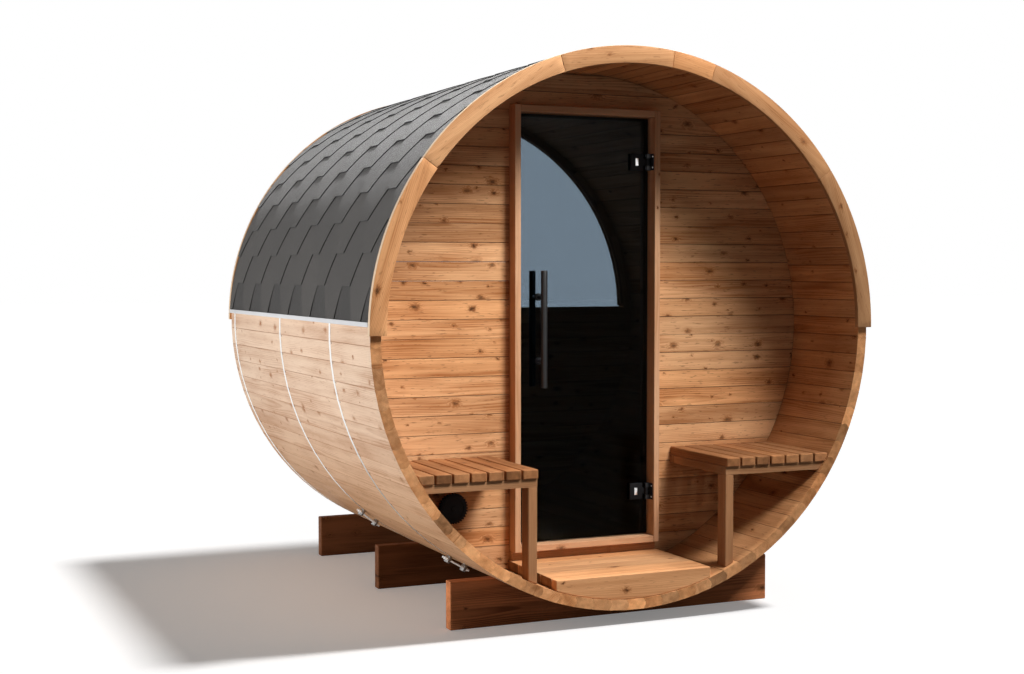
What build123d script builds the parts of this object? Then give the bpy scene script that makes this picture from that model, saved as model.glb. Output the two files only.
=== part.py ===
from build123d import *
import os
from math import asin, cos, degrees, floor, radians, sin, sqrt, tan

# Barrel sauna: staves held by steel bands lie in three cradles. The front wall stands back behind an
# open porch with two benches, and a glass door in it swings outwards. The back wall has a half-moon window.
# Millimetres, +Z up. The origin is on the ground under the middle of the barrel, and the front faces -Y.

# Barrel
barrel_radius = 1130.0
barrel_length = 2140.0
barrel_clearance = 55.0
stave_count = 88
stave_thickness = 43.0
stave_joint_gap = 0.4
bead_height = 7.0
bead_shoulder = 5.5
bead_slope = 9.0
stave_group_names = [
    "staves_right",
    "staves_upper_right",
    "staves_crown",
    "staves_upper_left",
    "staves_left",
    "staves_lower_left",
    "staves_bottom",
    "staves_lower_right",
]

# Clearance where one piece seats on another
seat_gap = 0.3

# End walls
wall_thickness = 45.0
porch_depth = 480.0
back_inset = 51.0

# Floor of boards on curved bearers
floor_rise = 102.0
floor_board_thickness = 42.0
floor_board_width = 90.0
floor_board_gap = 4.5
floor_setback = 3.5
bearer_thickness = 38.0
skirt_thickness = 45.0
room_bearer_count = 3

# Door frame
frame_width = 694.0
frame_face = 27.0
frame_proud = 58.0
frame_corner_margin = 87.0
frame_rise = 38.5
threshold_depth = 26.0
stop_width = 16.0
stop_gap = 8.0

# Glass door
glass_thickness = 8.0
door_gap = 5.5
door_recess = 56.0
handle_edge_offset = 107.0
handle_length = 497.0
handle_radius = 14.0
handle_post_radius = 9.0
handle_post_spacing = 272.0
handle_standoff = 56.0

# Door hinges
hinge_end_offset = 221.0
hinge_side_offset = 15.0
hinge_front_offset = 15.0
hinge_height = 72.0
hinge_knuckle_radius = 9.0
hinge_knuckle_height = 29.0
hinge_knuckle_gap = 1.5
hinge_pin_radius = 4.5
hinge_pin_clearance = 0.5
clamp_width = 62.0
clamp_thickness = 11.0
clamp_side_gap = 17.0

# Air vent on the front wall
vent_radius = 64.5
vent_depth = 18.0
vent_neck_radius = 52.0
vent_neck_depth = 13.5
vent_edge = 5.5
vent_flat_count = 32
vent_margin = 56.5
vent_angle = 230.5

# Porch benches
bench_height = 448.5
bench_door_margin = 87.0
bench_setback = 4.5
slat_width = 65.5
slat_gap = 7.5
slat_thickness = 37.0
rail_depth = 34.0
rail_thickness = 34.0
rail_setback = 11.0
leg_width = 38.5
leg_depth = 65.5

# Half-moon window in the back wall
window_margin = 20.5
window_sill_rise = 31.0
window_bead_width = 15.0
window_segment_count = 8

# Fascia arches over the stave ends
fascia_thickness = 22.5
fascia_reveal = 16.0
fascia_board_count = 5

# Steel bands and their tensioners
band_width = 20.0
band_thickness = 1.0
band_middle_offset = 173.0
front_tensioner_angle = 240.0
middle_tensioner_angle = 231.0
rear_tensioner_angle = 252.0
lug_height = 29.0
lug_thickness = 13.5
lug_width = 41.0
rod_radius = 4.5
rod_overhang = 16.0
rod_flat_count = 6

# Shingled roof over the upper half
roof_thickness = 8.0
eave_rise = 33.0
eave_strip_height = 18.0
eave_strip_lip = 1.0

# Cradles
cradle_length = 1480.0
cradle_height = 195.0
cradle_thickness = 50.0
cradle_inset = 176.0

# Places that follow from the sizes above
stave_angle = 360 / stave_count
half_stave = radians(stave_angle / 2)
inner_radius = barrel_radius - stave_thickness
outer_corner_radius = barrel_radius / cos(half_stave)
lining_radius = inner_radius - seat_gap
axis_z = barrel_clearance + barrel_radius
front_y = -barrel_length / 2
back_y = barrel_length / 2
wall_front_y = front_y + porch_depth
wall_back_y = wall_front_y + wall_thickness
rear_outer_y = back_y - back_inset
rear_inner_y = rear_outer_y - wall_thickness
floor_top = floor_rise - inner_radius
floor_underside = floor_top - floor_board_thickness
frame_half = frame_width / 2
jamb_inner = frame_half - frame_face
frame_front_y = wall_front_y - frame_proud
frame_bottom = floor_top + frame_rise
frame_top = sqrt((inner_radius - frame_corner_margin) ** 2 - frame_half**2)
glass_half = jamb_inner - door_gap
glass_bottom = frame_bottom + frame_face + door_gap
glass_top = frame_top - frame_face - door_gap
glass_front_y = frame_front_y + door_recess
glass_back_y = glass_front_y + glass_thickness
hinge_x = jamb_inner - hinge_side_offset
hinge_y = glass_front_y - hinge_front_offset
hinge_levels = [frame_bottom + hinge_end_offset, frame_top - hinge_end_offset]
band_inner = barrel_radius + seat_gap
band_outer = band_inner + band_thickness
band_corner_radius = band_outer / cos(half_stave)
roof_inner = band_corner_radius + seat_gap
roof_outer = roof_inner + roof_thickness


def half_chord(level, radius):
    """Half the width of a circle at a level above or below its centre."""
    return sqrt(radius**2 - level**2)


def section_plane(y):
    """A plane across the barrel at y, with its origin on the barrel's axis and its normal to the front."""
    return Plane(origin=(0, y, axis_z), x_dir=(1, 0, 0), z_dir=(0, -1, 0))


def arc_band(inner, outer, start, sweep, centre=(0, 0)):
    """Draws a sector of a flat ring in the sketch being built."""
    with BuildLine() as outline:
        near = CenterArc(centre, inner, start, sweep)
        far = CenterArc(centre, outer, start, sweep)
        Line(near @ 0, far @ 0)
        Line(near @ 1, far @ 1)
    make_face(outline.edges())


def block(low, high):
    """Adds a box between two corners, with heights measured from the barrel's axis."""
    with Locations((low[0], low[1], low[2] + axis_z)):
        Box(high[0] - low[0], high[1] - low[1], high[2] - low[2], align=Align.MIN)


def save(builder, node):
    """Names a finished piece and writes it as its own file."""
    builder.part.label = node
    export_step(builder.part, f"parts/{node}.step")


os.makedirs("parts", exist_ok=True)


# Staves with a bead along one edge and a matching cove along the other, each in three flats
def stave_edge(side, gap):
    """The outline of one side of a stave from its outer to its inner face, with its bead or cove."""
    outline = [
        (barrel_radius, 0),
        (barrel_radius - bead_shoulder, 0),
        (barrel_radius - bead_shoulder - bead_slope, bead_height),
        (inner_radius + bead_shoulder + bead_slope, bead_height),
        (inner_radius + bead_shoulder, 0),
        (inner_radius, 0),
    ]
    return [
        (
            radius - side * (rise + gap) * sin(half_stave),
            side * radius * tan(half_stave) + (rise + gap) * cos(half_stave),
        )
        for radius, rise in outline
    ]


with BuildSketch() as stave_profile:
    with BuildLine():
        Polyline(*stave_edge(1, 0), *reversed(stave_edge(-1, stave_joint_gap)), close=True)
    make_face()

group_count = len(stave_group_names)
for group, group_name in enumerate(stave_group_names):
    first = round(group * stave_count / group_count)
    last = round((group + 1) * stave_count / group_count)
    first_angle = (first + 1 / 2) * stave_angle - 360 / group_count / 2
    with BuildPart() as staves:
        with BuildSketch(section_plane(back_y)):
            with PolarLocations(0, last - first, first_angle, (last - first) * stave_angle):
                add(stave_profile.sketch)
        extrude(amount=barrel_length)
    save(staves, group_name)

# Front wall beside, over and under the doorway
for side, node in ((-1, "front_wall_left"), (1, "front_wall_right")):
    with BuildPart() as wall_side:
        with BuildSketch(section_plane(wall_back_y)):
            Circle(lining_radius)
            with Locations((side * (frame_half + seat_gap + lining_radius), 0)):
                Rectangle(2 * lining_radius, 2 * lining_radius, mode=Mode.INTERSECT)
        extrude(amount=wall_thickness)
    save(wall_side, node)

for level, align, node in (
    (frame_top + seat_gap, Align.MIN, "front_wall_over_door"),
    (frame_bottom - seat_gap, Align.MAX, "front_wall_under_door"),
):
    with BuildPart() as wall_filling:
        with BuildSketch(section_plane(wall_back_y)):
            Circle(lining_radius)
            with Locations((0, level)):
                Rectangle(frame_width, lining_radius, align=(Align.CENTER, align), mode=Mode.INTERSECT)
        extrude(amount=wall_thickness)
    save(wall_filling, node)

# Door frame, its threshold and the strips that the door closes against
with BuildPart() as door_jambs:
    for side in (-1, 1):
        edges = sorted((side * jamb_inner, side * frame_half))
        block((edges[0], frame_front_y, frame_bottom), (edges[1], wall_back_y, frame_top))
save(door_jambs, "door_jambs")

rail_half = jamb_inner - seat_gap
for low, high, node in (
    (frame_top - frame_face, frame_top, "door_head"),
    (frame_bottom, frame_bottom + frame_face, "door_sill"),
):
    with BuildPart() as door_rail:
        block((-rail_half, frame_front_y, low), (rail_half, wall_back_y, high))
    save(door_rail, node)

with BuildPart() as door_threshold:
    block(
        (-frame_half, wall_front_y - threshold_depth, floor_top + seat_gap),
        (frame_half, wall_front_y - seat_gap, frame_bottom - seat_gap),
    )
save(door_threshold, "door_threshold")

stop_front_y = glass_back_y + stop_gap
stop_bottom = frame_bottom + frame_face + seat_gap
stop_top = frame_top - frame_face - seat_gap
with BuildPart() as door_stops:
    for side in (-1, 1):
        edges = sorted((side * (rail_half - stop_width), side * rail_half))
        block((edges[0], stop_front_y, stop_bottom), (edges[1], wall_back_y, stop_top))
    head_half = rail_half - stop_width - seat_gap
    block((-head_half, stop_front_y, stop_top - stop_width), (head_half, wall_back_y, stop_top))
save(door_stops, "door_stops")

# Glass door with its pull handles
with BuildPart() as door_glass:
    block((-glass_half, glass_front_y, glass_bottom), (glass_half, glass_back_y, glass_top))
save(door_glass, "door_glass")

handle_x = handle_edge_offset - jamb_inner
handle_level = (frame_bottom + frame_top) / 2
for facing, glass_face_y, node in (
    (-1, glass_front_y, "door_handle_outside"),
    (1, glass_back_y, "door_handle_inside"),
):
    handle_plane = Plane(
        origin=(handle_x, glass_face_y, axis_z + handle_level), x_dir=(1, 0, 0), z_dir=(0, facing, 0)
    )
    with BuildPart(handle_plane) as door_handle:
        with Locations((0, 0, handle_standoff)):
            Cylinder(handle_radius, handle_length, rotation=(90, 0, 0))
        with Locations((0, -handle_post_spacing / 2), (0, handle_post_spacing / 2)):
            Cylinder(handle_post_radius, handle_standoff, align=(Align.CENTER, Align.CENTER, Align.MIN))
    save(door_handle, node)

# Hinges: brackets with a pin on the jamb, and clamps with a knuckle on the glass
bracket_inner = hinge_knuckle_height / 2 + hinge_knuckle_gap
hinge_planes = [Plane(origin=(hinge_x, hinge_y, axis_z + level)) for level in hinge_levels]
with BuildPart(*hinge_planes) as hinge_brackets:
    Cylinder(hinge_pin_radius, hinge_height)
    for end, align in ((bracket_inner, Align.MIN), (-bracket_inner, Align.MAX)):
        with Locations((-hinge_knuckle_radius, 0, end)):
            Box(
                hinge_knuckle_radius + hinge_side_offset - seat_gap,
                2 * hinge_knuckle_radius,
                hinge_height / 2 - bracket_inner,
                align=(Align.MIN, Align.CENTER, align),
            )
save(hinge_brackets, "hinge_brackets")

front_clamp_back = hinge_front_offset - seat_gap
with BuildPart(*hinge_planes) as hinge_clamps:
    Cylinder(hinge_knuckle_radius, hinge_knuckle_height)
    with Locations((0, front_clamp_back, 0)):
        Box(
            clamp_side_gap,
            clamp_thickness,
            hinge_knuckle_height,
            align=(Align.MAX, Align.MAX, Align.CENTER),
        )
    with Locations((-clamp_side_gap, front_clamp_back, 0)):
        Box(clamp_width, clamp_thickness, hinge_height, align=(Align.MAX, Align.MAX, Align.CENTER))
    Cylinder(hinge_pin_radius + hinge_pin_clearance, hinge_height, mode=Mode.SUBTRACT)
    with Locations((-clamp_side_gap, hinge_front_offset + glass_thickness + seat_gap, 0)):
        Box(clamp_width, clamp_thickness, hinge_height, align=(Align.MAX, Align.MIN, Align.CENTER))
save(hinge_clamps, "hinge_clamps")

# Round air vent low on the left of the front wall
vent_reach = inner_radius - vent_margin - vent_radius
vent_plane = Plane(
    origin=(
        vent_reach * cos(radians(vent_angle)),
        wall_front_y - seat_gap,
        axis_z + vent_reach * sin(radians(vent_angle)),
    ),
    x_dir=(1, 0, 0),
    z_dir=(0, -1, 0),
)
with BuildPart() as air_vent:
    with BuildSketch(vent_plane):
        RegularPolygon(vent_neck_radius, vent_flat_count)
    extrude(amount=vent_neck_depth)
    with BuildSketch(vent_plane.offset(vent_neck_depth)):
        RegularPolygon(vent_radius, vent_flat_count)
    extrude(amount=vent_depth)
    chamfer(air_vent.faces().sort_by(Axis.Y)[0].edges(), vent_edge)
save(air_vent, "air_vent")

# Back wall under and around the half-moon window
with BuildPart() as back_wall_lower:
    with BuildSketch(section_plane(rear_outer_y)):
        Circle(lining_radius)
        with Locations((0, window_sill_rise)):
            Rectangle(
                2 * lining_radius,
                2 * lining_radius,
                align=(Align.CENTER, Align.MAX),
                mode=Mode.INTERSECT,
            )
    extrude(amount=wall_thickness)
save(back_wall_lower, "back_wall_lower")

window_radius = inner_radius - window_margin - window_sill_rise
segment_sweep = 180 / window_segment_count
segment_trim = degrees(seat_gap / window_radius)
window_centre = (0, window_sill_rise + seat_gap)
with BuildPart() as back_wall_arch:
    for segment in range(window_segment_count):
        with BuildSketch(section_plane(rear_outer_y)):
            arc_band(
                window_radius,
                2 * lining_radius,
                segment * segment_sweep,
                segment_sweep - segment_trim,
                window_centre,
            )
            Circle(lining_radius, mode=Mode.INTERSECT)
        extrude(amount=wall_thickness)
save(back_wall_arch, "back_wall_arch")

# Window glass between glazing beads
pane_radius = window_radius - seat_gap
bead_inner = pane_radius - window_bead_width
bead_depth = (wall_thickness - glass_thickness) / 2 - seat_gap
with BuildPart() as back_window:
    with BuildSketch(section_plane(rear_outer_y - wall_thickness / 2 + glass_thickness / 2)):
        with Locations(window_centre):
            Circle(pane_radius)
            Rectangle(2 * pane_radius, pane_radius, align=(Align.CENTER, Align.MIN), mode=Mode.INTERSECT)
    extrude(amount=glass_thickness)
save(back_window, "back_window")

bead_lift = degrees(asin((window_bead_width + seat_gap) / bead_inner))
with BuildPart() as window_beads:
    for bead_back_y in (rear_outer_y, rear_inner_y + bead_depth):
        with BuildSketch(section_plane(bead_back_y)):
            arc_band(bead_inner, pane_radius, bead_lift, 180 - 2 * bead_lift, window_centre)
            with Locations(window_centre):
                Rectangle(
                    2 * half_chord(window_bead_width, pane_radius),
                    window_bead_width,
                    align=(Align.CENTER, Align.MIN),
                )
        extrude(amount=bead_depth)
save(window_beads, "window_beads")

# Floor boards across the barrel on bearers cut to its curve, in the porch and in the room
floor_half = half_chord(floor_underside, lining_radius)


def floor_boards(start_y, end_y):
    """Lays boards side by side from start_y to end_y in the part being built."""
    count = max(1, floor((end_y - start_y + floor_board_gap) / (floor_board_width + floor_board_gap)))
    pitch = (end_y - start_y + floor_board_gap) / count
    for number in range(count):
        low_y = start_y + number * pitch
        high_y = low_y + pitch - floor_board_gap
        block((-floor_half, low_y, floor_underside), (floor_half, high_y, floor_top))


def floor_bearer(front, thickness, top):
    """Adds a bearer across the barrel with its lower edge cut to the staves."""
    with BuildSketch(section_plane(front + thickness)) as section:
        Circle(lining_radius)
        with Locations((0, top)):
            Rectangle(2 * floor_half, lining_radius, align=(Align.CENTER, Align.MAX), mode=Mode.INTERSECT)
    extrude(section.sketch, amount=thickness)


porch_floor_front = front_y + floor_setback
porch_floor_back = wall_front_y - seat_gap
room_floor_front = wall_back_y + seat_gap
room_floor_back = rear_inner_y - seat_gap
bearer_top = floor_underside - seat_gap
with BuildPart() as porch_floor:
    floor_boards(porch_floor_front + skirt_thickness + floor_board_gap, porch_floor_back)
save(porch_floor, "porch_floor")

with BuildPart() as porch_floor_bearers:
    floor_bearer(porch_floor_front, skirt_thickness, floor_top)
    floor_bearer(porch_floor_back - bearer_thickness, bearer_thickness, bearer_top)
save(porch_floor_bearers, "porch_floor_bearers")

with BuildPart() as room_floor:
    floor_boards(room_floor_front, room_floor_back)
save(room_floor, "room_floor")

room_bearer_step = (room_floor_back - room_floor_front - bearer_thickness) / (room_bearer_count - 1)
with BuildPart() as room_floor_bearers:
    for number in range(room_bearer_count):
        floor_bearer(room_floor_front + number * room_bearer_step, bearer_thickness, bearer_top)
save(room_floor_bearers, "room_floor_bearers")

# Porch benches: slats from front to back on rails, with one leg at the inner front corner
bench_inner = frame_half + bench_door_margin
bench_front_y = front_y + bench_setback
bench_back_y = wall_front_y - seat_gap
slat_top = floor_top + bench_height
slat_bottom = slat_top - slat_thickness
rail_top = slat_bottom - seat_gap
rail_bottom = rail_top - rail_depth
slat_length = bench_back_y - bench_front_y
slat_pitch = slat_width + slat_gap
slat_count = floor((half_chord(slat_top, lining_radius) - bench_inner + slat_gap) / slat_pitch)


def bench_section(side, near, width, low, high, back_y, depth):
    """Adds a bar along the barrel, between two levels and forward of back_y, cut to the barrel's lining."""
    with BuildSketch(section_plane(back_y)) as section:
        with Locations((side * (near + width / 2), (low + high) / 2)):
            Rectangle(width, high - low)
        Circle(lining_radius, mode=Mode.INTERSECT)
    extrude(section.sketch, amount=depth)


for side, side_name in ((-1, "left"), (1, "right")):
    with BuildPart() as bench_slats:
        for number in range(slat_count):
            near = bench_inner + number * slat_pitch
            bench_section(side, near, slat_width, slat_bottom, slat_top, bench_back_y, slat_length)
    save(bench_slats, f"bench_{side_name}_slats")

    front_rail_back_y = bench_front_y + rail_setback + rail_thickness
    side_rail_back_y = bench_back_y - rail_thickness - seat_gap
    with BuildPart() as bench_frame:
        for rail_back_y in (front_rail_back_y, bench_back_y):
            bench_section(
                side, bench_inner, lining_radius, rail_bottom, rail_top, rail_back_y, rail_thickness
            )
        bench_section(
            side,
            bench_inner,
            rail_thickness,
            rail_bottom,
            rail_top,
            side_rail_back_y,
            side_rail_back_y - front_rail_back_y - seat_gap,
        )
        bench_section(
            side,
            bench_inner,
            leg_width,
            -inner_radius,
            rail_bottom - seat_gap,
            bench_front_y + rail_setback + leg_depth,
            leg_depth,
        )
    save(bench_frame, f"bench_{side_name}_frame")

# Fascia arches of curved boards over the upper stave ends
fascia_inner = inner_radius - fascia_reveal
fascia_sweep = 180 / fascia_board_count
fascia_trim = degrees(seat_gap / fascia_inner)
for fascia_back_y, node in (
    (front_y - seat_gap, "front_fascia"),
    (back_y + seat_gap + fascia_thickness, "rear_fascia"),
):
    with BuildPart() as fascia:
        with BuildSketch(section_plane(fascia_back_y)):
            for number in range(fascia_board_count):
                arc_band(fascia_inner, roof_outer, number * fascia_sweep, fascia_sweep - fascia_trim)
        extrude(amount=fascia_thickness)
    save(fascia, node)

# Roof skin in two halves that meet at the crown, with a metal strip along each eave
strip_start = degrees(asin(eave_rise / roof_outer))
strip_end = degrees(asin((eave_rise + eave_strip_height) / roof_outer))
roof_start = strip_end + degrees(seat_gap / roof_inner)
roof_sweep = 90 - roof_start - degrees(seat_gap / roof_inner)
for start, node in ((roof_start, "roof_right"), (180 - roof_start - roof_sweep, "roof_left")):
    with BuildPart() as roof:
        with BuildSketch(section_plane(back_y)):
            arc_band(roof_inner, roof_outer, start, roof_sweep)
        extrude(amount=barrel_length)
    save(roof, node)

with BuildPart() as eave_strips:
    with BuildSketch(section_plane(back_y)):
        for start in (strip_start, 180 - strip_end):
            arc_band(roof_inner, roof_outer + eave_strip_lip, start, strip_end - strip_start)
    extrude(amount=barrel_length)
save(eave_strips, "eave_strips")

# Steel bands bent to the flats of the staves at both walls and between them, each closed by a tensioner
def joint_turn(angle):
    """The turn about the barrel of the stave joint nearest to an angle."""
    return (round(angle / stave_angle - 1 / 2) + 1 / 2) * stave_angle


band_places = [
    ((wall_front_y + wall_back_y) / 2, joint_turn(front_tensioner_angle)),
    (band_middle_offset, joint_turn(middle_tensioner_angle)),
    ((rear_inner_y + rear_outer_y) / 2, joint_turn(rear_tensioner_angle)),
]
lug_spacing = 2 * band_outer * sin(half_stave)
with BuildPart() as steel_bands:
    for band_y, tensioner_turn in band_places:
        with BuildSketch(section_plane(band_y + band_width / 2)):
            RegularPolygon(band_outer, stave_count, major_radius=False, rotation=stave_angle / 2)
            RegularPolygon(
                band_inner,
                stave_count,
                major_radius=False,
                rotation=stave_angle / 2,
                mode=Mode.SUBTRACT,
            )
            with Locations(Rotation(0, 0, tensioner_turn)):
                Rectangle(
                    2 * barrel_radius,
                    lug_spacing - lug_thickness,
                    align=(Align.MIN, Align.CENTER),
                    mode=Mode.SUBTRACT,
                )
        extrude(amount=band_width)
save(steel_bands, "steel_bands")


def tensioner_plane(band_y, turn):
    """A plane on the outside of a band, turned about the barrel, with x along the band and z outwards."""
    out = Vector(1, 0, 0).rotate(Axis.Y, -turn)
    foot = Vector(0, band_y, axis_z) + out * (band_outer + seat_gap)
    return Plane(origin=foot, x_dir=out.cross(Vector(0, 1, 0)), z_dir=out)


rod_side = lug_width / 2 - 2 * rod_radius
with BuildPart() as rod:
    with BuildSketch(Plane.YZ):
        RegularPolygon(rod_radius, rod_flat_count)
    extrude(amount=(lug_spacing + lug_thickness) / 2 + rod_overhang, both=True)

with BuildPart() as band_tensioners:
    for band_y, tensioner_turn in band_places:
        lug_turns = (tensioner_turn - stave_angle / 2, tensioner_turn + stave_angle / 2)
        with Locations(*[tensioner_plane(band_y, turn) for turn in lug_turns]):
            Box(lug_thickness, lug_width, lug_height, align=(Align.CENTER, Align.CENTER, Align.MIN))
        with Locations(tensioner_plane(band_y, tensioner_turn)):
            with Locations((0, -rod_side, lug_height / 2), (0, rod_side, lug_height / 2)):
                add(rod.part)
save(band_tensioners, "band_tensioners")

# Cradles: planks on edge with their tops cut to the barrel
cradle_bed_radius = outer_corner_radius + seat_gap
cradle_places = {
    "cradle_front": front_y + cradle_inset,
    "cradle_middle": -cradle_thickness / 2,
    "cradle_rear": back_y - cradle_inset - cradle_thickness,
}
for node, cradle_front_y in cradle_places.items():
    with BuildPart() as cradle:
        with BuildSketch(section_plane(cradle_front_y + cradle_thickness)):
            with Locations((0, -axis_z)):
                Rectangle(cradle_length, cradle_height, align=(Align.CENTER, Align.MIN))
            Circle(cradle_bed_radius, mode=Mode.SUBTRACT)
        extrude(amount=cradle_thickness)
    save(cradle, node)
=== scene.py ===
import bmesh
import bpy
import random
from math import acos, cos, pi, radians, sin, sqrt, tan
from mathutils import Matrix, Vector


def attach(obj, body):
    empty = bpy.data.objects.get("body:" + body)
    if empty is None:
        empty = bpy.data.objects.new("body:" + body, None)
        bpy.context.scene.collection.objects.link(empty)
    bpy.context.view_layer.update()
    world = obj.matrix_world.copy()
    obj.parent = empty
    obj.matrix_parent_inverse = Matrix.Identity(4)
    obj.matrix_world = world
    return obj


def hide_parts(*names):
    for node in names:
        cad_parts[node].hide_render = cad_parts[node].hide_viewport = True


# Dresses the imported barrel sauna: bevelled boards with their own run of grain, hexagonal shingles,
# fittings and glass. Metres, +Z up, the porch faces -Y.

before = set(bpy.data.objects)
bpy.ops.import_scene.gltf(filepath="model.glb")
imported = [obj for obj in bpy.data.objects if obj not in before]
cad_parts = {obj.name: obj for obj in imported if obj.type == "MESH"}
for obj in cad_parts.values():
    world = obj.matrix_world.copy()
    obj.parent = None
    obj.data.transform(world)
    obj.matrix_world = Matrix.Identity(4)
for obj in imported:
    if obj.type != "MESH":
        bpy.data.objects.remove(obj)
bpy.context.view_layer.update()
draw = random.Random(11)

# Main places, as in the part
seat_gap = 0.0003
axis_z = 1.185
barrel_radius = 1.130
inner_radius = 1.087
lining_radius = inner_radius - seat_gap
roof_outer = 1.14032
front_y = -1.070
back_y = 1.070
barrel_length = back_y - front_y
stave_count = 88
stave_angle = 2 * pi / stave_count
half_stave = stave_angle / 2
wall_front_y = -0.590
wall_back_y = -0.545
wall_depth = wall_back_y - wall_front_y
rear_inner_y = 0.974
rear_outer_y = 1.019
floor_top = axis_z - 0.985
floor_underside = floor_top - 0.042
floor_half = 0.3552
frame_half = 0.347
jamb_inner = 0.320
frame_front_y = -0.648
frame_bottom = axis_z - 0.9465
frame_top = axis_z + 0.93787
frame_face = 0.027
glass_front_y = -0.592
glass_back_y = -0.584
plain_edge = 0.002

x_dir = Vector((1, 0, 0))
y_dir = Vector((0, 1, 0))
z_dir = Vector((0, 0, 1))
centre = Vector((0, 0, axis_z))
across_barrel = Matrix.Rotation(pi / 2, 4, "X")


def radial(turn):
    """The direction out of the barrel at a turn."""
    return Vector((cos(turn), 0, sin(turn)))


def tangent(turn):
    """The direction round the barrel at a turn."""
    return Vector((-sin(turn), 0, cos(turn)))


# Workbench for pieces

def ease(board, edges, width, segments=2):
    """Rounds some edges of a board."""
    bmesh.ops.bevel(
        board, geom=edges, offset=width, offset_type="OFFSET", segments=segments, profile=0.5,
        affect="EDGES", clamp_overlap=True, material=-1,
    )


def round_edges(board, width, segments=2, least=30):
    """Rounds every edge of a board that turns by more than the least angle."""
    edges = [
        e for e in board.edges if len(e.link_faces) == 2 and e.calc_face_angle(0) > radians(least)
    ]
    ease(board, edges, width, segments)


def box_board(low, high, edge=plain_edge):
    """A board between two corners with rounded edges."""
    board = bmesh.new()
    low, high = Vector(low), Vector(high)
    bmesh.ops.create_cube(board, size=1)
    bmesh.ops.scale(board, vec=high - low, verts=board.verts)
    bmesh.ops.translate(board, vec=(low + high) / 2, verts=board.verts)
    if edge:
        round_edges(board, edge)
    return board


def section_disc(radius, segments=180, middle=centre):
    """A round sheet across the barrel, facing the front."""
    board = bmesh.new()
    place = Matrix.Translation(middle) @ across_barrel
    bmesh.ops.create_circle(board, cap_ends=True, segments=segments, radius=radius, matrix=place)
    return board


def cut(board, point, outward, clear=True):
    """Saws a board along a plane and drops what lies on the outward side."""
    bmesh.ops.bisect_plane(
        board, geom=board.verts[:] + board.edges[:] + board.faces[:], dist=1e-6, plane_co=point,
        plane_no=outward, clear_outer=clear,
    )


def moved_points(pulled):
    """The new points of an extrusion."""
    return [item for item in pulled["geom"] if isinstance(item, bmesh.types.BMVert)]


def pull(board, way):
    """Gives a sheet its thickness and turns its faces outwards."""
    pulled = bmesh.ops.extrude_face_region(board, geom=board.faces[:])
    bmesh.ops.translate(board, vec=way, verts=moved_points(pulled))
    bmesh.ops.recalc_face_normals(board, faces=board.faces)


def thicken(board, y, depth, edge=plain_edge):
    """Gives a sheet its thickness from y towards the back and rounds its edges."""
    bmesh.ops.translate(board, vec=(0, y, 0), verts=board.verts)
    pull(board, (0, depth, 0))
    if edge:
        round_edges(board, edge)
    return board


def section_board(x_low, x_high, z_low, z_high, y, depth, edge=plain_edge):
    """A board whose section is a rectangle cut to the barrel's round lining."""
    board = section_disc(lining_radius)
    cut(board, (x_low, 0, 0), -x_dir)
    cut(board, (x_high, 0, 0), x_dir)
    cut(board, (0, 0, z_low), -z_dir)
    cut(board, (0, 0, z_high), z_dir)
    return thicken(board, y, depth, edge)


def swing(shape, geom, middle, angle, steps):
    """Sweeps points and lines round a middle in the barrel's section."""
    bmesh.ops.spin(
        shape, geom=geom, cent=middle, axis=-y_dir, dvec=(0, 0, 0), angle=angle, steps=steps
    )


def swept_sheet(points, middle, sweep, steps):
    """A sheet swept by the line between two points as it turns round a middle."""
    sheet = bmesh.new()
    ends = [sheet.verts.new(point) for point in points]
    swing(sheet, ends + [sheet.edges.new(ends)], middle, sweep, steps)
    return sheet


def arc_sheet(inner, outer, start, sweep, steps, middle=centre):
    """A curved sheet between two radii, round the barrel's axis or another middle."""
    points = [middle + radius * radial(start) for radius in (inner, outer)]
    return swept_sheet(points, middle, sweep, steps)


def new_stock():
    """An empty piece whose boards carry grain, tone, end marks, and marks for joints and painted
    light.
    """
    stock = bmesh.new()
    stock.verts.layers.float_vector.new("grain")
    stock.verts.layers.float.new("tone")
    stock.faces.layers.float.new("end")
    stock.faces.layers.float.new("seam_and_painted_light")
    return stock


def lay(stock, board, along, across, tone=None, seams_and_underside_shade=False, rim=None, painted_shade_on_ends=False):
    """Gives a finished board its own run of grain and adds it to a piece.

    Its eased edges are marked as dark joints, the ones that look down darker than the ones that look
    up as painted shade under each edge; faces that look away from the rim's middle are marked for a
    painted highlight; and its cut ends are marked dark as painted shade; each where that is asked
    for.
    """
    grain = board.verts.layers.float_vector.new("grain")
    shade = board.verts.layers.float.new("tone")
    end = board.faces.layers.float.new("end")
    seam_and_painted_light = board.faces.layers.float.new("seam_and_painted_light")
    depth = along.cross(across)
    middle = sum((v.co for v in board.verts), Vector()) / len(board.verts)
    run = draw.uniform(0, 60)
    heart_across = draw.uniform(-0.08, 0.08)
    heart_depth = draw.choice((-1, 1)) * draw.uniform(0.015, 0.12)
    drawn = draw.uniform(0.2, 0.8)
    for v in board.verts:
        p = v.co - middle
        v[grain] = (run + p.dot(along), heart_across + p.dot(across), heart_depth + p.dot(depth))
        v[shade] = drawn if tone is None else tone
    for f in board.faces:
        f.normal_update()
        f[end] = 1.0 if abs(f.normal.dot(along)) > 0.8 else 0.0
        # Eased faces that look down are marked darker than those that look up: painted shade under
        # each edge
        turned_off = max(abs(f.normal.dot(way)) for way in (along, across, depth)) < 0.97
        f[seam_and_painted_light] = (1.0 if f.normal.z < 0 else 0.3) if seams_and_underside_shade and turned_off else 0.0
        # A face that looks away from the rim's middle is marked for a painted highlight
        if rim:
            out = f.calc_center_median() - rim
            if f.normal.dot(out) > 0.9 * out.length:
                f[seam_and_painted_light] = -1.0
        # Cut ends that are asked to be dark get painted shade
        if painted_shade_on_ends and f[end]:
            f[seam_and_painted_light] = 1.0
    join(stock, board)


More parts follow.
